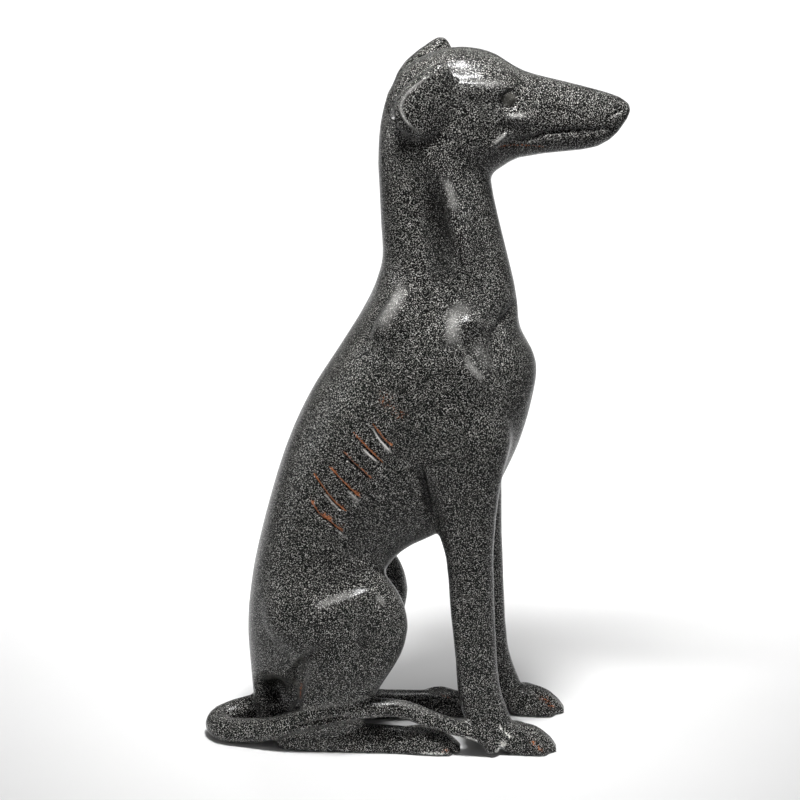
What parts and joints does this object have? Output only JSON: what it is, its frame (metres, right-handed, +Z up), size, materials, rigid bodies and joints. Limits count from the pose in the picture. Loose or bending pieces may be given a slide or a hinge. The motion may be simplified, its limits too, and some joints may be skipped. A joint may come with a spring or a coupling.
{
  "type": "seated greyhound statue",
  "caption": "Seated slender sighthound statue, cast in one piece, with folded ears, carved ribs and a tail wrapped along its flank to the forepaw.",
  "frame": {"origin": "centre of the bounding box in plan, on the floor plane under the feet", "axes": "+Z up, +X the way the dog faces, +Y towards its left side"},
  "size_m": [0.4406, 0.1641, 0.7617],
  "materials": {
    "stone_fleck_enamel": "semi-gloss charcoal enamel with fine light stone flecks over a copper-brown base coat that shows in the rib cuts and creases"
  },
  "bodies": {
    "root": {"greyhound": "stone_fleck_enamel"}
  },
  "joints": []
}
